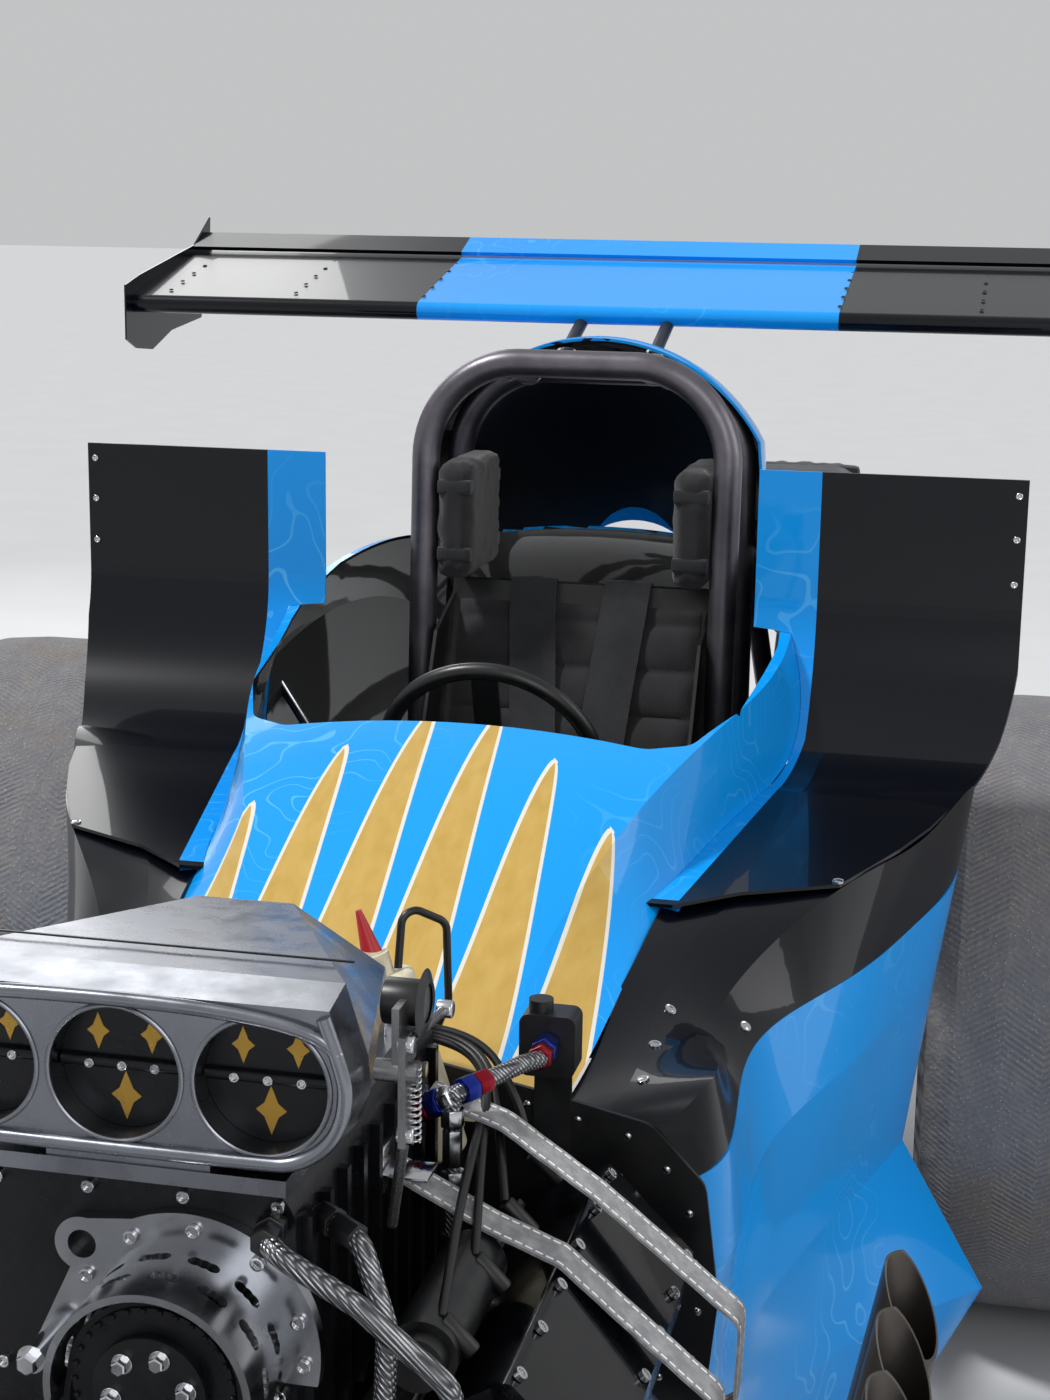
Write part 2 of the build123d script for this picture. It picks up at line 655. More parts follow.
def tub_section(row, inset):
    s, bottom_x, bottom_z, side_x, side_z, waist_x, waist_z, crease_x, crease_z, shoulder_x, shoulder_z, top = row
    half = [(bottom_x - inset, bottom_z - (40 if inset else 0)), (side_x - inset, side_z),
            (waist_x - inset, waist_z), (crease_x - inset, crease_z - inset / 2),
            (shoulder_x - inset, shoulder_z - inset)]
    left = [(-x, z) for x, z in reversed(half)]
    line = Polyline(*left[-1:], *half[:1])
    up = Polyline(*half)
    over = ThreePointArc(half[-1], (0, top - inset), left[0])
    down = Polyline(*left)
    return station(s) * make_face(Curve() + [line, up, over, down])


def body_tub():
    outer = loft([tub_section(row, 0) for row in TUB_SECTIONS])
    inner = loft([tub_section(row, SKIN) for row in TUB_SECTIONS])
    shell = outer - inner - opening
    axle_slot = span(-600, 600, -110, 110, REAR_TYRE_R - 110, REAR_TYRE_R + 110)
    return shell - axle_slot


parts["body_tub"] = body_tub()


# The edge where the black band ends and the blue side begins
# columns: s, x, z
WAISTLINE = (
    (BODY_FRONT_S, 362.0, 690.0),
    (1120.0, 396.0, 735.0),
    (980.0, 424.0, 752.0),
    (860.0, 478.0, 757.0),
    (740.0, 522.0, 762.0),
    (620.0, 560.0, 772.0),
    (505.0, 592.0, 800.0),
)
SEAM = 1.0

# Body sides from the firewall back to the tyres, with a flared foot
# columns: s, then x and z of the upper side, lower side, flare and hem
SIDE_SECTIONS = (
    (BODY_FRONT_S, 386.0, 590.0, 382.0, 400.0, 376.0, 240.0, 370.0, 124.0),
    (1120.0, 412.0, 620.0, 398.0, 402.0, 388.0, 240.0, 382.0, 120.0),
    (980.0, 438.0, 636.0, 414.0, 405.0, 408.0, 240.0, 402.0, 116.0),
    (860.0, 480.0, 645.0, 440.0, 408.0, 440.0, 238.0, 430.0, 112.0),
    (740.0, 515.0, 650.0, 472.0, 410.0, 488.0, 234.0, 474.0, 108.0),
    (620.0, 546.0, 655.0, 508.0, 415.0, 564.0, 228.0, 534.0, 106.0),
    (505.0, 572.0, 662.0, 540.0, 420.0, 655.0, 222.0, 598.0, 104.0),
)


def side_points(row, edge):
    top = (edge[1], edge[2] - SEAM)
    return [top] + list(zip(row[1::2], row[2::2]))


def body_side():
    sections = []
    for row, edge in zip(SIDE_SECTIONS, WAISTLINE):
        points = side_points(row, edge)
        inner = [(x - SKIN, z) for x, z in points]
        sections.append(station(row[0]) * make_face(Polyline(*points, *reversed(inner), close=True)))
    panel = loft(sections)
    # the return wall in front of the tyre
    points = side_points(SIDE_SECTIONS[-1], WAISTLINE[-1])
    wall_points = [(x - SKIN / 2, z) for x, z in points]
    wall_points += [(RETURN_WALL_X, wall_points[-1][1]), (RETURN_WALL_X, wall_points[0][1])]
    wall = extrude(station(SIDE_SECTIONS[-1][0]) * make_face(Polyline(*wall_points, close=True)), SKIN)
    return panel + wall


RETURN_WALL_X = 412.0
left = body_side()
parts["body_side_left"] = left
parts["body_side_right"] = mirrored(left)


# Spoiler: a black band along the cowl that grows into a ramp and stands up ahead of the tyre
# columns: x and z of the inner edge, trough and lip, at the stations of the waistline, where it ends
BAND_SECTIONS = (
    (226.0, 743.0, 272.0, 738.0, 322.0, 722.0),
    (252.0, 796.0, 300.0, 786.0, 358.0, 764.0),
    (274.0, 846.0, 322.0, 832.0, 384.0, 806.0),
    (285.0, 866.0, 372.0, 866.0, 466.0, 864.0),
    (306.0, 877.0, 420.0, 878.0, 529.0, 878.0),
    (330.0, 889.0, 450.0, 890.0, 572.0, 892.0),
    (356.0, 905.0, 480.0, 906.0, 607.0, 908.0),
)
RAMP_LIP_S = 970.0
RAMP_LIP_Z = 861.0
RAMP_FLOOR_Z = 902.0
RAMP_TOP_Z = 1283.0
RAMP_STAND_S = 362.0
RAMP_BEND_R = 210.0
RAMP_INNER_X = 301.0
RAMP_OUTER_X = 651.0
RAMP_T = 4.0
# columns: s, x of the ramp's outer edge, from its front lip back
RAMP_EDGE = (
    (956.0, 292.0),
    (905.0, 361.0),
    (860.0, 469.0),
    (802.0, 498.0),
    (740.0, 528.0),
    (662.0, 559.0),
    (556.0, 590.0),
    (478.0, 618.0),
    (433.0, 634.0),
    (375.0, RAMP_OUTER_X),
)


def ramp_sheet():
    # The J of the ramp, seen from the side, carried across the car
    stand = REAR_AXLE_Y - RAMP_STAND_S
    lip = REAR_AXLE_Y - RAMP_LIP_S
    bend = RAMP_BEND_R
    floor_z = RAMP_FLOOR_Z
    t = RAMP_T
    outer = [Line((stand, RAMP_TOP_Z), (stand, floor_z + bend)),
             RadiusArc((stand, floor_z + bend), (stand - bend, floor_z), bend),
             Line((stand - bend, floor_z), (lip, RAMP_LIP_Z))]
    inner = [Line((lip, RAMP_LIP_Z), (lip, RAMP_LIP_Z - t)),
             Line((lip, RAMP_LIP_Z - t), (stand - bend, floor_z - t)),
             RadiusArc((stand - bend, floor_z - t), (stand + t, floor_z + bend), -(bend + t)),
             Line((stand + t, floor_z + bend), (stand + t, RAMP_TOP_Z)),
             Line((stand + t, RAMP_TOP_Z), (stand, RAMP_TOP_Z))]
    profile = side_plane(RAMP_INNER_X - 60) * make_face(Curve() + outer + inner)
    sheet = extrude(profile, RAMP_OUTER_X - RAMP_INNER_X + 120)
    edge = [(x, REAR_AXLE_Y - s) for s, x in RAMP_EDGE]
    back = REAR_AXLE_Y - RAMP_STAND_S + 50
    plan = edge + [(RAMP_OUTER_X, back), (RAMP_INNER_X, back), (RAMP_INNER_X, REAR_AXLE_Y - 375),
                   (330, REAR_AXLE_Y - 400), (250, REAR_AXLE_Y - 700), (250, REAR_AXLE_Y - 956)]
    return sheet & (Pos(0, 0, 800) * extrude(make_face(Polyline(*plan, close=True)), 600))


def spoiler():
    sections = []
    for row, edge in zip(BAND_SECTIONS, WAISTLINE):
        s, edge_x, edge_z = edge
        points = list(zip(row[0::2], row[1::2])) + [(edge_x, edge_z)]
        inner = [(x - SKIN * 0.75, z - SKIN) for x, z in points[:-1]] + [(edge_x - SKIN, edge_z)]
        sections.append(station(s) * make_face(Polyline(*points, *reversed(inner), close=True)))
    band = loft(sections)
    return band + ramp_sheet() - cowl_mass(0.6)


left = spoiler()
parts["spoiler_left"] = left
parts["spoiler_right"] = mirrored(left)


# Headrest fairing behind the cage
# columns: s, half width at the foot, foot z, half width higher up, that z, top z
FAIRING_SECTIONS = (
    (-50.0, 272.0, 1070.0, 252.0, 1275.0, 1424.0),
    (-135.0, 268.0, 1050.0, 248.0, 1265.0, 1416.0),
    (-300.0, 222.0, 990.0, 180.0, 1180.0, 1296.0),
    (-430.0, 150.0, 900.0, 100.0, 1050.0, 1100.0),
)


def fairing_section(row, inset):
    s, foot_x, foot_z, high_x, high_z, top = row
    a = (foot_x - inset, foot_z - inset * 2)
    b = (high_x - inset, high_z)
    return station(s) * make_face(Curve() + [
        Line((-a[0], a[1]), a), Line(a, b), ThreePointArc(b, (0, top - inset), (-b[0], b[1])),
        Line((-b[0], b[1]), (-a[0], a[1]))])


def fairing():
    outer = loft([fairing_section(row, 0) for row in FAIRING_SECTIONS])
    inner = loft([fairing_section(row, SKIN) for row in FAIRING_SECTIONS])
    deck = loft([tub_section(row, -SEAT_GAP) for row in TUB_SECTIONS])
    shell = outer - inner - deck - cage_rear(SEAT_GAP * 3)
    for low, high in wing_mount_ends():
        shell = shell - rod(low, high, WING_MOUNT_R + 4)
    return shell


parts["headrest_fairing"] = fairing()


# Firewall with room for the rails and the bellhousing
def firewall():
    t = FIREWALL_T
    half = [(330, 118), (374, 250), (388, 420), (402, 570), (386, 690), (330, 748), (236, 768), (0, 812)]
    outline = half + [(-x, z) for x, z in reversed(half[:-1])]
    face = make_face(Polyline(*outline, close=True))
    face = fillet(face.vertices(), 30)
    plate = extrude(station(FIREWALL_S) * face, t)
    for x in (-RAIL_X, RAIL_X):
        for z in (LOWER_RAIL_Z, UPPER_RAIL_Z):
            plate = plate - rod(place(x, FIREWALL_S - 30, z), place(x, FIREWALL_S + 30, z), RAIL_R + SEAT_GAP)
        plate = plate - span(x - BRACE_R - 1, x + BRACE_R + 1, FIREWALL_S - 30, FIREWALL_S + 30,
                             UPPER_RAIL_Z - 45, UPPER_RAIL_Z)
    hole = rod(place(0, FIREWALL_S - 30, CRANK_Z), place(0, FIREWALL_S + 30, CRANK_Z), BELL_R + SEAT_GAP)
    shaft_s, shaft_end = STEER_SHAFT
    bearing = rod(shaft_point(FIREWALL_S - 14), shaft_point(FIREWALL_S + 18), 22)
    bore = rod(shaft_point(FIREWALL_S - 30), shaft_point(FIREWALL_S + 40), SHAFT_ROD_R + RUNNING_GAP)
    return plate - hole + bearing - bore


# Steering shaft: from the firewall's bearing forward to the box on the axle
SHAFT_ROD_R = 9.5
STEER_SHAFT = (place(-215, FIREWALL_S - 40, 380), place(PITMAN_X, WHEELBASE - 30, 345))


def shaft_point(s):
    rear, front = STEER_SHAFT
    share = (rear.Y - (REAR_AXLE_Y - s)) / (rear.Y - front.Y)
    return rear + (front - rear) * share


def steering_shaft():
    return rod(*STEER_SHAFT, SHAFT_ROD_R)


parts["steering_shaft"] = steering_shaft()


BELL_R = 190.0
parts["firewall"] = firewall()


# Floor pan between the rails
def floor_pan():
    back = FRONT_HOOP_FOOT_S + CAGE_R + SEAT_GAP
    return span(-RAIL_X + RAIL_R + SEAT_GAP, RAIL_X - RAIL_R - SEAT_GAP, back, FIREWALL_S - SEAT_GAP,
                LOWER_RAIL_Z + RAIL_R + SEAT_GAP, LOWER_RAIL_Z + RAIL_R + SEAT_GAP + 2)


parts["floor_pan"] = floor_pan()


# Seat: a bent aluminium bucket with side bolsters, astride the driveshaft
def seat():
    # columns: s, z round the bent sheet, then round a side bolster
    sheet = ((520, 530), (230, 526), (32, 1060), (12, 1060), (215, 508), (520, 508))
    bolster = ((500, 520), (470, 640), (300, 720), (150, 1000), (40, 1040), (222, 520))
    shell = extrude(side_plane(-SEAT_HALF_W) * make_face(
        Polyline(*[(REAR_AXLE_Y - s, z) for s, z in sheet], close=True)), 2 * SEAT_HALF_W)
    left_wing = extrude(side_plane(SEAT_HALF_W - 5) * make_face(
        Polyline(*[(REAR_AXLE_Y - s, z) for s, z in bolster], close=True)), 5)
    shape = shell + left_wing + mirrored(left_wing)
    for s in SEAT_RAIL_S:
        shape = shape + span(-RAIL_X, RAIL_X, s - 12, s + 12, 501, 508)
    # the brackets are coped to the sloping upper rails
    for x in (-RAIL_X, RAIL_X):
        shape = shape - rod(place(x, AXLE_BAY, KICKUP_REAR_Z), place(x, KICKUP_FRONT_S, UPPER_RAIL_Z),
                            RAIL_R + SEAT_GAP)
        shape = shape - span(min(x, 1.2 * x), max(x, 1.2 * x), 0, KICKUP_FRONT_S, 495, 515)
    return shape


SEAT_HALF_W = 200.0
SEAT_RAIL_S = (446.0, 506.0)


parts["seat"] = seat()


# Pads: side head pads on the cage
def head_pads():
    pad = fillet(span(148, FRONT_HOOP_X - CAGE_R - SEAT_GAP, -60, 134, 1075, 1250).edges(), 14)
    return both(pad)


parts["head_pads"] = head_pads()


# Engine
BANK = math.radians(BANK_ANGLE)


def on_bank(along, across):
    # (x, z) of a point along the bank's axis from the crank, and across it, outwards and down
    x = along * math.sin(BANK) + across * math.cos(BANK)
    z = CRANK_Z + along * math.cos(BANK) - across * math.sin(BANK)
    return (x, z)


def prism(outline, s0, s1):
    face = station(s0) * make_face(Polyline(*outline, close=True))
    return extrude(face, s1 - s0)


def engine_block():
    half = [(VALLEY_HALF_W, VALLEY_Z), on_bank(DECK_H, -75), on_bank(DECK_H, 75), (150, 380), (150, 292),
            (128, 240), (118, 136)]
    outline = half + [(-x, z) for x, z in reversed(half)]
    return prism(outline, ENGINE_REAR_S, ENGINE_FRONT_S)


# Height above the deck and distance across of the head's exhaust face, low and high
PORT_FACE = ((0.0, 88.0), (HEAD_H - 20, 96.0))
HEAD_REAR_S = 1340.0
HEAD_FRONT_S = 1786.0


def port_face(up):
    (low, low_x), (high, high_x) = PORT_FACE
    return low_x + (up - low) / (high - low) * (high_x - low_x)


def head():
    low = DECK_H + SEAT_GAP
    high = DECK_H + HEAD_H
    outline = [on_bank(low, -88), on_bank(low, port_face(SEAT_GAP)), on_bank(high - 20, port_face(HEAD_H - 20)),
               on_bank(high, 84), on_bank(high, -88)]
    return prism(outline, HEAD_REAR_S, HEAD_FRONT_S)


def valve_cover():
    low = DECK_H + HEAD_H + SEAT_GAP
    high = low + COVER_H
    outline = [on_bank(low, -84), on_bank(low, 82), on_bank(low + 12, 82), on_bank(high - 22, 76),
               on_bank(high, 58), on_bank(high, -62), on_bank(low + 12, -84)]
    shape = prism(outline, HEAD_REAR_S + 8, HEAD_FRONT_S - 8)
    return fillet(shape.edges().filter_by(Axis.Y).group_by(Axis.Z)[-1], 10)



def manifold():
    half = [(46, VALLEY_Z + SEAT_GAP), (98, 566), (118, BLOWER_BASE_Z - SEAT_GAP)]
    outline = half + [(-x, z) for x, z in reversed(half)]
    return prism(outline, ENGINE_REAR_S + 60, BLOWER_FRONT_S - 20)


def blower_case():
    w = BLOWER_W / 2
    face = fillet(make_face(Polyline((w, BLOWER_BASE_Z), (w, BLOWER_TOP_Z), (-w, BLOWER_TOP_Z),
                                     (-w, BLOWER_BASE_Z), close=True)).vertices(), 34)
    case = extrude(station(BLOWER_REAR_S) * face, BLOWER_FRONT_S - BLOWER_REAR_S)
    ribs = []
    count = 9
    pitch = (BLOWER_FRONT_S - BLOWER_REAR_S - 40) / (count - 1)
    for i in range(count):
        s = BLOWER_REAR_S + 20 + i * pitch
        ribs.append(span(-w - 9, w + 9, s - 5, s + 5, BLOWER_BASE_Z + 30, BLOWER_TOP_Z - 30))
    snout = rod(place(DRIVE_X, BLOWER_FRONT_S, DRIVE_Z), place(DRIVE_X, DRIVE_S - BELT_W / 2 - 6, DRIVE_Z), 36)
    return fuse([case] + ribs + [snout])


parts["engine_block"] = engine_block()
parts["cylinder_heads"] = both(head())
parts["valve_covers"] = both(valve_cover())
parts["intake_manifold"] = manifold()
parts["blower_case"] = blower_case()


# Blower drive: two pulleys, the belt, and the slotted guard ring
def belt_outline(grow):
    # The loop round both pulleys, drawn with (x, z): two arcs joined by their outer tangents
    top_r = TOP_PULLEY_R + grow
    low_r = CRANK_PULLEY_R + grow
    rise = DRIVE_Z - CRANK_Z
    length = math.hypot(DRIVE_X, rise)
    lean = math.atan2(DRIVE_X, rise)
    tilt = math.asin((low_r - top_r) / length)
    right = tilt - lean
    left = math.pi - tilt - lean

    def at(x, z, r, a):
        return (x + r * math.cos(a), z + r * math.sin(a))

    top = (DRIVE_X, DRIVE_Z, top_r)
    low = (0, CRANK_Z, low_r)
    lines = [ThreePointArc(at(*top, right), at(*top, (right + left) / 2), at(*top, left)),
             Line(at(*top, left), at(*low, left)),
             ThreePointArc(at(*low, left), at(*low, (right + left) / 2 + math.pi), at(*low, right)),
             Line(at(*low, right), at(*top, right))]
    return make_face(Curve() + lines)


def blower_drive():
    rear = DRIVE_S - BELT_W / 2
    front = DRIVE_S + BELT_W / 2
    top = rod(place(DRIVE_X, rear - 5.7, DRIVE_Z), place(DRIVE_X, front, DRIVE_Z), TOP_PULLEY_R)
    nose = rod(place(DRIVE_X, front, DRIVE_Z), place(DRIVE_X, front + 10, DRIVE_Z), 46)
    low = rod(place(0, rear, CRANK_Z), place(0, front + 4, CRANK_Z), CRANK_PULLEY_R)
    snout = rod(place(0, ENGINE_FRONT_S + SEAT_GAP, CRANK_Z), place(0, front + 14, CRANK_Z), 34)
    belt = belt_outline(SEAT_GAP + BELT_T) - belt_outline(SEAT_GAP)
    loop = extrude(station(rear + 2) * belt, BELT_W - 4)
    return Compound(children=[top + nose, low + snout, loop])


def guard_slot(s0, s1, degrees, sweep_degrees):
    # A round-ended slot along the ring, as wide as s0 to s1
    a = math.radians(degrees)
    half = math.radians(sweep_degrees / 2)
    cuts = []
    for end in (a - half, a, a + half):
        x = math.cos(end)
        z = math.sin(end)
        low = place(DRIVE_X + x * GUARD_R * 0.8, (s0 + s1) / 2, DRIVE_Z + z * GUARD_R * 0.8)
        high = place(DRIVE_X + x * GUARD_R * 1.2, (s0 + s1) / 2, DRIVE_Z + z * GUARD_R * 1.2)
        cuts.append(rod(low, high, (s1 - s0) / 2))
    return cuts


def guard_ring():
    rear = BLOWER_FRONT_S + SEAT_GAP
    plate_t = 12.0
    mid = place(DRIVE_X, rear, DRIVE_Z)
    front = place(DRIVE_X, GUARD_FRONT_S, DRIVE_Z)
    ring = rod(mid, front, GUARD_R) - rod(mid, front, GUARD_R - GUARD_T)
    plate = rod(mid, place(DRIVE_X, rear + plate_t, DRIVE_Z), GUARD_R + 26)
    plate = plate - rod(mid, front, GUARD_R - GUARD_T)
    ear = place(DRIVE_X - 88, rear, DRIVE_Z + 74)
    ear_disc = rod(ear, ear - Vector(0, plate_t, 0), 23)
    tip = place(DRIVE_X - 118, rear, DRIVE_Z - 12)
    arm = rod(tip, tip - Vector(0, plate_t, 0), 10)
    web = extrude(station(rear) * make_face(Polyline((ear.X - 10, ear.Z - 20), (ear.X + 40, ear.Z - 40),
                                                     (tip.X + 9, tip.Z - 5), (tip.X - 8, tip.Z + 6),
                                                     close=True)), plate_t)
    link = extrude(station(rear) * make_face(Polyline((ear.X, ear.Z + 22), (DRIVE_X - 30, DRIVE_Z + GUARD_R + 18),
                                                      (DRIVE_X - 60, DRIVE_Z + 40), (ear.X, ear.Z - 22),
                                                      close=True)), plate_t)
    stud = rod(tip, tip - Vector(0, 46, 0), 9)
    shape = fuse([ring, plate, ear_disc, arm, web, link, stud])
    shape = shape - rod(ear + Vector(0, 1, 0), ear - Vector(0, 30, 0), 12) - rod(mid, front, GUARD_R - GUARD_T)
    shape = shape - span(-250, 250, rear - 1, GUARD_FRONT_S + 1, DRIVE_Z - 200, DRIVE_Z - 24)
    shape = shape - extrude(station(rear - 1) * belt_outline(BELT_T + 4), GUARD_FRONT_S - rear + 2)
    for i in range(7):
        for s, shift in ((rear + 34, 0), (rear + 66, 14)):
            for cut in guard_slot(s - 6, s + 6, -10 + 28 * i + shift, 10):
                shape = shape - cut
    return shape


parts["blower_drive"] = blower_drive()
parts["guard_ring"] = guard_ring()


# Injector hat: a wide lozenge mouth with three throttle bores, whose deck narrows to the rear
# columns: s, half width, bottom z, corner radius there, top z, half width of the deck
HAT_SECTIONS = (
    (HAT_MOUTH_S, HAT_HALF_W, 911.0, 1041.0, 172.0),
    (HAT_MOUTH_S - 60, HAT_HALF_W - 4, 900.0, 1042.0, 166.0),
    (HAT_REAR_S, 130.0, HAT_BASE_Z, 1022.0, 44.0),
)


def hat_face(s, half, low, top, deck_half):
    mid = (low + top) / 2
    r = HAT_LIP_R
    right = [Line((r - half, low), (half - r, low)),
             ThreePointArc((half - r, low), (half - r * 0.29, low + r * 0.29), (half, low + r)),
             Line((half, low + r), (half - 2, mid + 14)),
             Line((half - 2, mid + 14), (deck_half, top)),
             Line((deck_half, top), (-deck_half, top)),
             Line((-deck_half, top), (2 - half, mid + 14)),
             Line((2 - half, mid + 14), (-half, low + r)),
             ThreePointArc((-half, low + r), (r * 0.29 - half, low + r * 0.29), (r - half, low))]
    return station(s) * make_face(Curve() + right)


def hat():
    faces = [hat_face(*row) for row in HAT_SECTIONS]
    front, waist, rear = faces
    body = loft([front, waist]) + loft([waist, rear])
    tail = span(-120, 120, BLOWER_REAR_S + 130, HAT_REAR_S + 6, HAT_BASE_Z - 2, HAT_BASE_Z + 22)
    plate = span(-130, 130, BLOWER_REAR_S + 60, BLOWER_FRONT_S + 20, BLOWER_TOP_Z + SEAT_GAP, HAT_BASE_Z)
    clamp = span(-68, 68, HAT_MOUTH_S - 42, HAT_MOUTH_S - 22, 886, 902)
    body = fuse([body, tail, plate, clamp])
    for i in (-1, 0, 1):
        x = i * HAT_HOLE_PITCH
        body = body - rod(place(x, HAT_MOUTH_S - 70, HAT_HOLE_Z), place(x, HAT_MOUTH_S + 60, HAT_HOLE_Z), HAT_HOLE_R)
    return body


def butterflies():
    # Three round plates on one shaft, closed, and the shaft's end lever outside the hat
    s = HAT_MOUTH_S - 26
    plates = []
    for i in (-1, 0, 1):
        x = i * HAT_HOLE_PITCH
        disc = rod(place(x, s - 2, HAT_HOLE_Z), place(x, s + 2, HAT_HOLE_Z), HAT_HOLE_R - SEAT_GAP)
        reach = HAT_HOLE_R - 1.5
        shaft = rod(place(x - reach, s + 4, HAT_HOLE_Z), place(x + reach, s + 4, HAT_HOLE_Z), 5)
        plates.append(disc + shaft)
    return Compound(children=plates)


def throttle_linkage():
    # A lever, a dashpot and two rods on the hat's left flank
    x = HAT_HALF_W + SEAT_GAP
    s = HAT_MOUTH_S - 60
    hub = rod(place(x, s, HAT_HOLE_Z), place(x + 34, s, HAT_HOLE_Z), 9)
    lever = span(x + 20, x + 26, s - 9, s + 9, HAT_HOLE_Z - 60, HAT_HOLE_Z + 30)
    upper = rod(place(x + 23, s, HAT_HOLE_Z + 22), place(x + 23, s - 120, HAT_HOLE_Z + 8), 4)
    lower = rod(place(x + 23, s, HAT_HOLE_Z - 52), place(x - 4, s - 60, BLOWER_TOP_Z - 60), 4.5)
    dashpot = rod(place(x - 2, s - 34, HAT_HOLE_Z + 44), place(x + 30, s - 34, HAT_HOLE_Z + 44), 17)
    arm = span(x + 14, x + 20, s - 44, s + 6, HAT_HOLE_Z - 4, HAT_HOLE_Z + 52)
    return fuse([hub, lever, upper, lower, dashpot, arm])


hat_body = hat()
parts["injector_hat"] = hat_body
parts["throttle_linkage"] = throttle_linkage() - hat_body
parts["butterflies"] = butterflies()


# Headers: four slash-cut pipes a side, on one flange
HEADER_R = 34.0
HEADER_WALL = 2.5
PORT_UP = 62.0


def headers():
    face = port_face(PORT_UP)
    start_x, start_z = on_bank(DECK_H + PORT_UP, face + 4)
    pipes = []
    for i in range(4):
        s = PORT_FIRST_S + i * PORT_PITCH
        path = [place(start_x, s, start_z), place(start_x + 68, s, start_z - 68),
                place(555, s - 6, 440), place(600, s + 4, 672)]
        pipe = bent_pipe(path, HEADER_R, 55, HEADER_WALL)
        # the slash cut at the tip faces outwards and forward
        tip = Plane(origin=place(584, s + 2, 652), z_dir=(0.82, -0.35, 0.45))
        pipes.append(pipe - tip * Pos(0, 0, 100) * Box(300, 300, 200))
    low_h = PORT_UP - 30
    high_h = PORT_UP + 28
    low = port_face(low_h) + SEAT_GAP
    high = port_face(high_h) + SEAT_GAP
    outline = [on_bank(DECK_H + low_h, low), on_bank(DECK_H + high_h, high),
               on_bank(DECK_H + high_h, high + 9), on_bank(DECK_H + low_h, high + 9)]
    flange = prism(outline, HEAD_REAR_S + 10, HEAD_FRONT_S - 10)
    return fuse([flange] + pipes)


# Straps that hold the blower down, from its sides over the covers to the upper rails
STRAP_W = 42.0
STRAP_T = 3.0
STRAP_END_X = RAIL_X + RAIL_R + SEAT_GAP + STRAP_T / 2
STRAP_LAST = ((STRAP_END_X, 472.0), (STRAP_END_X, 404.0))
# columns: s at the middle, z at the blower's side, then (x, z) along the strap from the middle of the cover's top
STRAPS = (
    (PORT_FIRST_S + PORT_PITCH / 2, 822.0,
     (-124.0376, 118.9624), (-30.0376, 55.9624), (101.9624, -49.0376), (98.9624, -136.0376)),
    (PORT_FIRST_S + PORT_PITCH * 1.5, 797.0,
     (-109.0376, 72.9624), (-44.0376, 48.4624), (3.9624, 8.4624), (98.9624, -69.0376), (96.9624, -141.0376)),
)


def strap(row):
    s, z = row[:2]
    x = BLOWER_W / 2 + 14
    top_x, top_z = on_bank(DECK_H + HEAD_H + SEAT_GAP + COVER_H, 0)
    over = [(top_x + out, top_z + up) for out, up in row[2:]]
    path = FilletPolyline((x, z), *over, *STRAP_LAST, radius=16)
    ribbon = extrude(station(s - STRAP_W / 2) * trace(path, STRAP_T), STRAP_W)
    # the upper end plate, bolted to the blower's side
    plate = span(BLOWER_W / 2 + SEAT_GAP, BLOWER_W / 2 + 8, s - 18, s + 18, z - 22, z + 22)
    arm = span(BLOWER_W / 2 + 4, x + 12, s - 18, s + 18, z - 5, z + 3)
    return fuse([ribbon, plate, arm])


def blower_straps():
    left = [strap(row) - left_ribs() for row in STRAPS]
    return Compound(children=left + [mirrored(shape) for shape in left])


def left_ribs():
    # Room for the blower's ribs, which stand out where the end plates lie
    return span(0, BLOWER_W / 2 + 9 + SEAT_GAP, BLOWER_REAR_S, BLOWER_FRONT_S, BLOWER_BASE_Z, BLOWER_TOP_Z)


parts["blower_straps"] = blower_straps()


# Catch bottle in its clamp on the firewall's front
BOTTLE_S = 1347.9
BOTTLE_R = 34.0
BOTTLE_BASE = (124.0, 712.0)
BOTTLE_SHOULDER = (66.0, 892.0)
BOTTLE_TIP = (34.0, 952.0)


def catch_bottle():
    base = place(BOTTLE_BASE[0], BOTTLE_S, BOTTLE_BASE[1])
    shoulder = place(BOTTLE_SHOULDER[0], BOTTLE_S, BOTTLE_SHOULDER[1])
    tip = place(BOTTLE_TIP[0], BOTTLE_S, BOTTLE_TIP[1])
    up = (shoulder - base).normalized()
    body = fillet(rod(base, shoulder, BOTTLE_R).edges(), 7)
    neck = rod(shoulder - up, shoulder + up * 22, 16)
    height = (tip - shoulder).length - 21
    spout = Solid.make_cone(11, 3, height, Plane(origin=shoulder + up * 21, z_dir=up))
    front = FIREWALL_S + FIREWALL_T + SEAT_GAP
    clamp = span(86, 158, front, BOTTLE_S - 20, 742, 766)
    hold = rod(base + up * 22, base + up * 58, BOTTLE_R + 2.5)
    return fuse([body, neck, spout, hold, clamp])


parts["catch_bottle"] = catch_bottle()


# Fuel block on its bracket, and the oil filter lying against the left cover
BLOCK_X = (206.0, 261.0)
BLOCK_Z = (804.0, 866.0)


def fuel_block():
    front = FIREWALL_S + FIREWALL_T + SEAT_GAP
    body = fillet(span(*BLOCK_X, front + 5, front + 42, *BLOCK_Z).edges().filter_by(Axis.Y), 9)
    body = body + rod(place(BLOCK_X[0] + 18, front + 26, BLOCK_Z[1] - 2), place(BLOCK_X[0] + 18, front + 26,
                                                                             BLOCK_Z[1] + 12), 12)
    bracket = span(BLOCK_X[0] + 8, BLOCK_X[1] - 10, front, front + 6, 690, BLOCK_Z[1] - 12)
    return body + bracket


def filter_canister():
    r = 30.0
    x, z = on_bank(426, -84 - SEAT_GAP - r)
    can = rod(place(x, 1580, z), place(x, 1752, z), r)
    cap = rod(place(x, 1566, z), place(x, 1770, z), r - 7)
    return can + cap


parts["fuel_block"] = fuel_block()
parts["filter_canister"] = filter_canister()


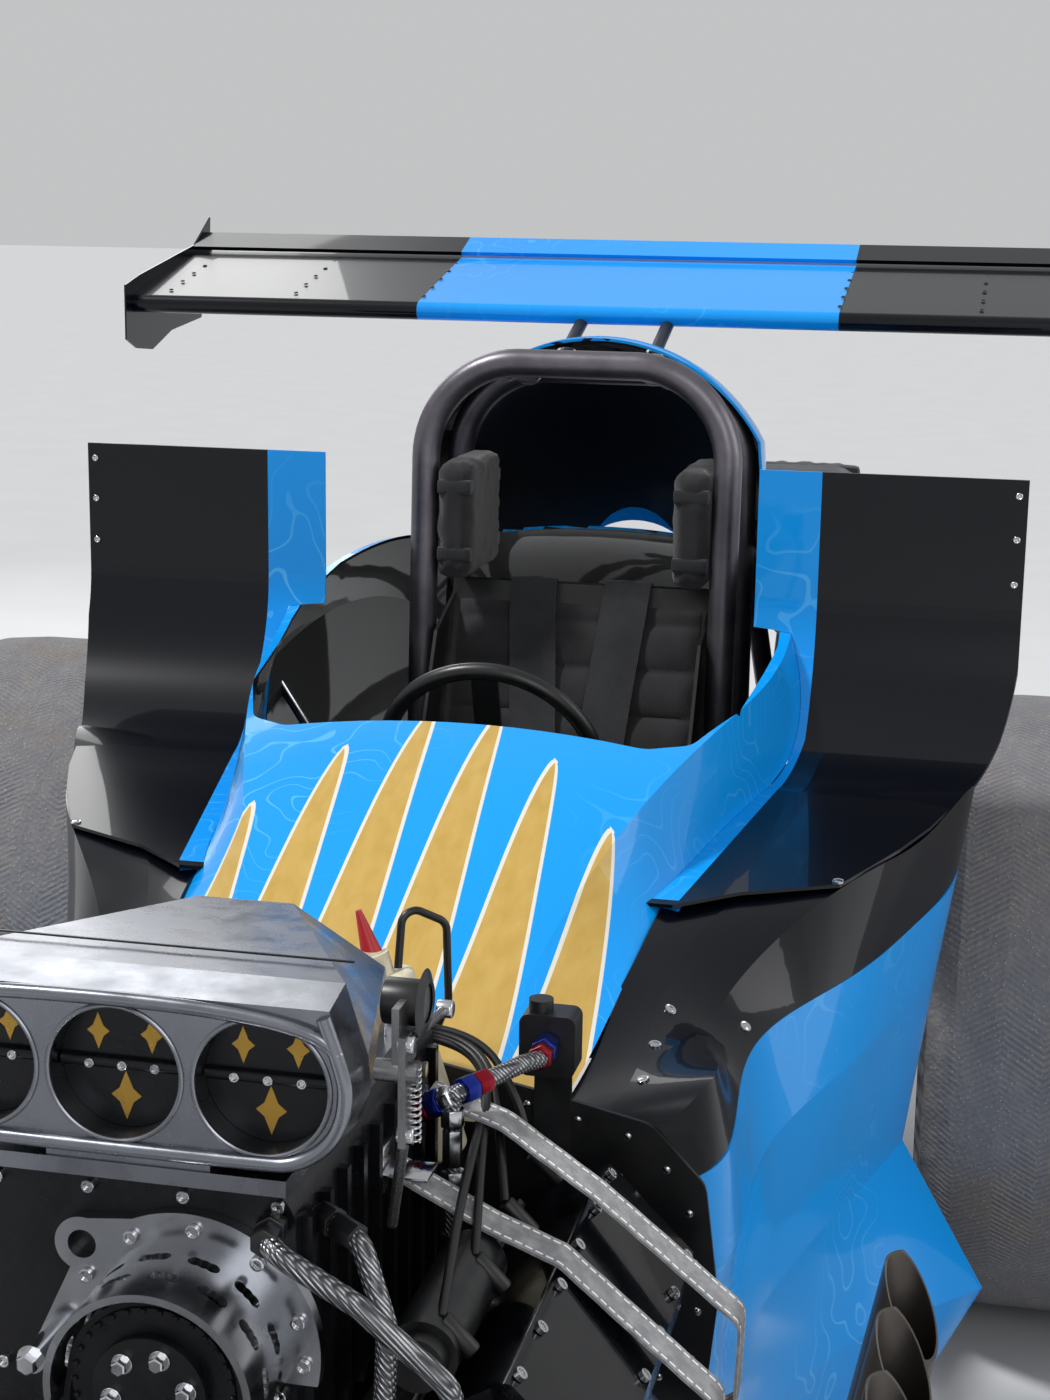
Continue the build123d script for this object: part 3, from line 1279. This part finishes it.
# Hoses, each held at both ends. The first has a tee with a tube that goes down
HOSE_R = 9.0
TEE_X = 176.0
TEE_S = 1485.0
TEE_Z = 834.0
# columns: radius, bend radius, then the points (x, s, z) that its runs meet at
HOSES = (
    (8.5, 14, (BLOWER_W / 2 + 5, 1478.0, 810.0), (TEE_X, TEE_S, TEE_Z), (224.0, 1414.0, 842.0),
     (235.0, 1388.0, 838.0), (235.0, FIREWALL_S + FIREWALL_T + 43, 838.0)),
    (HOSE_R, 26, (BLOWER_W / 2 + 5, 1756.5, 838.0), (178.0, 1782.0, 832.0), (206.0, 1802.0, 770.0),
     (206.0, 1818.0, 650.0), (204.0, 1818.0, 606.0), (203.0, HEAD_FRONT_S + 1.8, 602.0)),
    (HOSE_R, 26, (114.0, BLOWER_FRONT_S + 1.8, 847.0), (120.0, 1846.0, 850.0), (196.0, 1850.0, 812.0),
     (268.0, 1846.0, 752.0), (284.0, 1834.0, 640.0), (262.0, 1820.0, 551.0), (259.0, HEAD_FRONT_S + 2.4, 545.0)),
    (4.0, 14, (84.5, 1345.0, 900.6), (86.0, 1334.0, 962.0), (124.0, 1312.0, 940.0), (126.0, 1309.4, 860.0),
     (104.0, 1309.4, 800.0), (104.0, 1309.4, 769.0)),
)


def hose(row):
    r, bend = row[:2]
    return bent_rod([place(*point) for point in row[2:]], r, bend)


def fuel_lines():
    lines = [hose(row) for row in HOSES]
    tee = rod(place(TEE_X, TEE_S, 652), place(TEE_X, TEE_S, TEE_Z), 7.5)
    lines[0] = lines[0] + tee
    return Compound(children=lines)


parts["fuel_lines"] = fuel_lines()


parts["headers"] = both(headers())


# Bellhousing, gearbox and driveshaft
def gearbox():
    bell = rod(place(0, 1130, CRANK_Z), place(0, ENGINE_REAR_S - SEAT_GAP, CRANK_Z), BELL_R - 5)
    case = rod(place(0, 800, CRANK_Z), place(0, 1130, CRANK_Z), 110)
    return bell + case


def driveshaft():
    tip = 38 * (REAR_TYRE_R - 20 - CRANK_Z) / (800 - 330) + SEAT_GAP
    return rod(place(0, 330 + tip, REAR_TYRE_R - 20), place(0, 800 - tip, CRANK_Z), 38)


parts["driveline"] = Compound(children=[gearbox(), driveshaft()])



def steering_wheel():
    hub = place(0, WHEEL_S, WHEEL_Z)
    end = place(0, COLUMN_END_S, COLUMN_END_Z)
    axis = (end - hub).normalized()
    rim = Plane(origin=hub, z_dir=axis) * Torus(140, 11)
    shaft = rod(hub, end, COLUMN_R)
    bar = Plane(origin=hub, z_dir=axis) * Box(270, 34, 6)
    boss = Plane(origin=hub, z_dir=axis) * Cylinder(30, 24)
    return fuse([rim, shaft, bar, boss])


parts["steering_wheel"] = steering_wheel()


def steering_box():
    # Stands on the axle, with a boss at its back for the steering shaft
    x = PITMAN_X
    low = FRONT_TYRE_R + AXLE_TUBE_R + SEAT_GAP
    case = span(x - 35, x + 35, WHEELBASE - 45, WHEELBASE + 45, low, low + 75)
    boss = rod(shaft_point(WHEELBASE - 85), shaft_point(WHEELBASE - 40), 20)
    return case + boss - rod(shaft_point(WHEELBASE - 120), shaft_point(WHEELBASE - 29), SHAFT_ROD_R + RUNNING_GAP)


parts["steering_box"] = steering_box()


# Fuel tank ahead of the front axle
def fuel_tank():
    ahead = 95.0
    s = WHEELBASE + AXLE_BAY + ahead
    z = NOSE_UPPER_Z + math.sqrt((92 + BRACE_R + SEAT_GAP) ** 2 - ahead ** 2)
    drum = rod(place(-160, s, z), place(160, s, z), 92)
    cap = rod(place(0, s, z + 80), place(0, s, z + 112), 32)
    return fillet(drum.edges(), 30) + cap


parts["fuel_tank"] = fuel_tank()


# Wing: main plane, flap strip, end plates and mounts
def wing_point(back, up):
    # (y, z) of a point of the wing's own profile, back from the nose and up from it
    a = math.radians(WING_TILT)
    return (REAR_AXLE_Y - WING_NOSE_S + back * math.cos(a) - up * math.sin(a),
            WING_NOSE_Z + back * math.sin(a) + up * math.cos(a))


def wing_main():
    nose_top = wing_point(12, 16)
    nose = wing_point(-2, 0)
    nose_low = wing_point(14, -14)
    tail_top = wing_point(WING_CHORD, 20)
    tail_low = wing_point(WING_CHORD, 14)
    lines = [ThreePointArc(nose_low, nose, nose_top),
             ThreePointArc(nose_top, wing_point(150, 18), tail_top),
             Line(tail_top, tail_low),
             ThreePointArc(tail_low, wing_point(150, -34), nose_low)]
    return extrude(side_plane(-WING_HALF_SPAN) * make_face(Curve() + lines), 2 * WING_HALF_SPAN)


def wing_flap():
    a = wing_point(WING_CHORD - 18, 30)
    b = wing_point(WING_CHORD + 50, 40)
    c = wing_point(WING_CHORD + 51, 36)
    d = wing_point(WING_CHORD - 15, 23)
    face = make_face(Polyline(a, b, c, d, close=True))
    return extrude(side_plane(-WING_HALF_SPAN) * face, 2 * WING_HALF_SPAN)


# columns: s, z
END_PLATE = (
    (-236.0, 1388.0), (-236.0, 1478.0), (-300.0, 1493.0), (-560.0, 1538.0), (-640.0, 1585.0),
    (-632.0, 1492.0), (-586.0, 1408.0), (-440.0, 1393.0), (-350.0, 1365.0), (-280.0, 1371.0),
)


def end_plates():
    face = make_face(Polyline(*[(REAR_AXLE_Y - s, z) for s, z in END_PLATE], close=True))
    left_plate = extrude(side_plane(WING_HALF_SPAN + SEAT_GAP) * face, 3)
    return both(left_plate)


def wing_mounts():
    clear_cage = bent_rod(REAR_HOOP_PATH, CAGE_R + SEAT_GAP, HOOP_BEND_R)
    clear_wing = Pos(0, 0, -SEAT_GAP) * wing_main()
    return Compound(children=[rod(low, high, WING_MOUNT_R) - clear_wing - clear_cage
                              for low, high in wing_mount_ends()])


parts["wing"] = Compound(children=[wing_main(), wing_flap()])
parts["wing_end_plates"] = end_plates()
parts["wing_mounts"] = wing_mounts()


# Parachute packs and their carrier
def parachutes():
    pack = fillet(span(*CHUTE_X, *CHUTE_S, *CHUTE_Z).edges(), 40)
    return both(pack)


parts["parachute_packs"] = parachutes()


# Wheelie bar
BAR_WHEEL_R = 50.0
BAR_WHEEL_Z = 82.0
BAR_WHEEL_X = 170.0


def wheelie_bar():
    s = -(TAIL_REACH - BAR_WHEEL_R)
    tubes = []
    for x in (-BAR_WHEEL_X, BAR_WHEEL_X):
        tubes.append(rod(place(x, FRAME_TAIL_S, 250), place(x * 0.8, s, BAR_WHEEL_Z), BRACE_R))
        tubes.append(rod(place(x, FRAME_TAIL_S, KICKUP_REAR_Z), place(x * 0.8, s, BAR_WHEEL_Z), BRACE_R))
    x = BAR_WHEEL_X * 0.8
    sleeve = rod(place(-x - 14, s, BAR_WHEEL_Z), place(x + 14, s, BAR_WHEEL_Z), 14)
    bore = rod(place(-x - 20, s, BAR_WHEEL_Z), place(x + 20, s, BAR_WHEEL_Z), 8 + RUNNING_GAP)
    shape = fuse(tubes + [sleeve]) - bore
    # the tubes are coped to the two tail crossmembers
    for z in (250, KICKUP_REAR_Z):
        shape = shape - rod(place(-RAIL_X, FRAME_TAIL_S, z), place(RAIL_X, FRAME_TAIL_S, z), RAIL_R + SEAT_GAP)
        shape = shape - span(-RAIL_X, RAIL_X, FRAME_TAIL_S, FRAME_TAIL_S + 60, z - 60, z + 60)
    return shape


def bar_wheels():
    s = -(TAIL_REACH - BAR_WHEEL_R)
    x = BAR_WHEEL_X
    axle = rod(place(-x, s, BAR_WHEEL_Z), place(x, s, BAR_WHEEL_Z), 8)
    wheel = rod(place(x - 10, s, BAR_WHEEL_Z), place(x + 18, s, BAR_WHEEL_Z), BAR_WHEEL_R)
    return fuse([axle, wheel, mirrored(wheel)])


parts["wheelie_bar"] = wheelie_bar()
parts["bar_wheels"] = bar_wheels()


os.makedirs("parts", exist_ok=True)
for name, shape in parts.items():
    export_step(shape, os.path.join("parts", name + ".step"))
